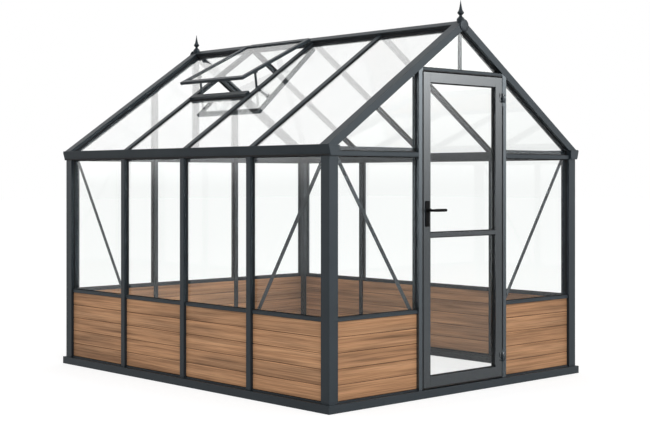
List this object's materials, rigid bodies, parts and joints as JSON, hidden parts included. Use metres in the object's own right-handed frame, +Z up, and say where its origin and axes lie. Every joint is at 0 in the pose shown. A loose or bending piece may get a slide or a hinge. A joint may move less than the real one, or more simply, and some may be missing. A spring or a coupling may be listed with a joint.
{
  "type": "metal greenhouse",
  "caption": "Free-standing gable greenhouse: dark coated metal frame, glass above boarded lower walls, hinged lever-handle door in the front gable, roof vent standing open, ridge finials.",
  "frame": {"origin": "middle of the overall box, on the ground", "axes": "+X to the right seen from the door gable, +Y from the door gable to the back, +Z up"},
  "size_m": [2.14, 2.605, 2.2409],
  "materials": {
    "coat": "satin powder coat",
    "board": "matt wood-look boards",
    "glass": "clear glass",
    "handle": "satin black",
    "steel": "plain steel"
  },
  "bodies": {
    "frame": {"plinth_left": "coat", "plinth_right": "coat", "plinth_front": "coat", "plinth_back": "coat", "plinth_corner_keys": "coat", "corner_posts": "coat", "left_wall_bars": "coat", "right_wall_bars": "coat", "back_wall_bars": "coat", "door_jamb_left": "coat", "door_jamb_right": "coat", "door_header": "coat", "gable_tie_bars": "coat", "left_wall_rails": "coat", "right_wall_rails": "coat", "front_wall_rails": "coat", "back_wall_rails": "coat", "left_wall_boards": "board", "right_wall_boards": "board", "front_wall_boards": "board", "back_wall_boards": "board", "left_wall_glass": "glass", "right_wall_glass": "glass", "front_glass": "glass", "back_glass": "glass", "corner_braces": "coat", "eaves_beam_left": "coat", "eaves_beam_right": "coat", "eaves_end_caps": "coat", "front_gable_rafters": "coat", "back_gable_rafters": "coat", "left_roof_bars": "coat", "right_roof_bars": "coat", "left_roof_glass": "glass", "right_roof_glass": "glass", "ridge_beam": "coat", "ridge_end_caps": "coat", "finials": "coat", "vent_hinge_channel": "coat", "vent_cill": "coat", "vent_stay_keepers": "coat", "hinge_frame_leaves": "coat", "hinge_pins": "steel", "strike_plate": "steel"},
    "door": {"door_latch_stile": "coat", "door_hinge_stile": "coat", "door_rails": "coat", "door_glass": "glass", "hinge_door_leaves": "coat", "handle_plates": "handle", "latch_case": "steel"},
    "handle": {"lever_handles": "handle", "spindle": "steel"},
    "latch": {"latch_bolt": "steel"},
    "vent": {"vent_rails": "coat", "vent_glass": "glass", "vent_stay_lugs": "coat"},
    "stay_front": {"vent_stay_front": "coat"},
    "stay_back": {"vent_stay_back": "coat"}
  },
  "joints": [
    {"name": "door_hinge", "type": "hinge", "parent": "frame", "child": "door", "pos_m": [0.3405, -1.2625, 0.93], "axis": [0, 0, 1], "range_deg": [0, 110]},
    {"name": "handle_turn", "type": "hinge", "parent": "door", "child": "handle", "pos_m": [-0.31, -1.2375, 1.041], "axis": [0, 1, 0], "range_deg": [0, 40], "stiffness_Nm_per_rad": 2, "springref_deg": -20.05},
    {"name": "latch_slide", "type": "slide", "parent": "door", "child": "latch", "axis": [1, 0, 0], "range_m": [0, 0.012]},
    {"name": "vent_hinge", "type": "hinge", "parent": "frame", "child": "vent", "pos_m": [-0.02929, 0.3225, 2.11261], "axis": [0, 1, 0], "range_deg": [-8, 8]},
    {"name": "stay_front_pivot", "type": "hinge", "parent": "vent", "child": "stay_front", "pos_m": [-0.47089, 0.0425, 1.87763], "axis": [0, 1, 0], "range_deg": [-8, 8]},
    {"name": "stay_back_pivot", "type": "hinge", "parent": "vent", "child": "stay_back", "pos_m": [-0.47089, 0.6025, 1.87763], "axis": [0, 1, 0], "range_deg": [-8, 8]}
  ],
  "couplings": [
    {"joint": "latch_slide", "follows": "handle_turn", "m_per_rad": 0.0171},
    {"joint": "stay_front_pivot", "follows": "vent_hinge", "ratio": -1},
    {"joint": "stay_back_pivot", "follows": "vent_hinge", "ratio": -1}
  ]
}
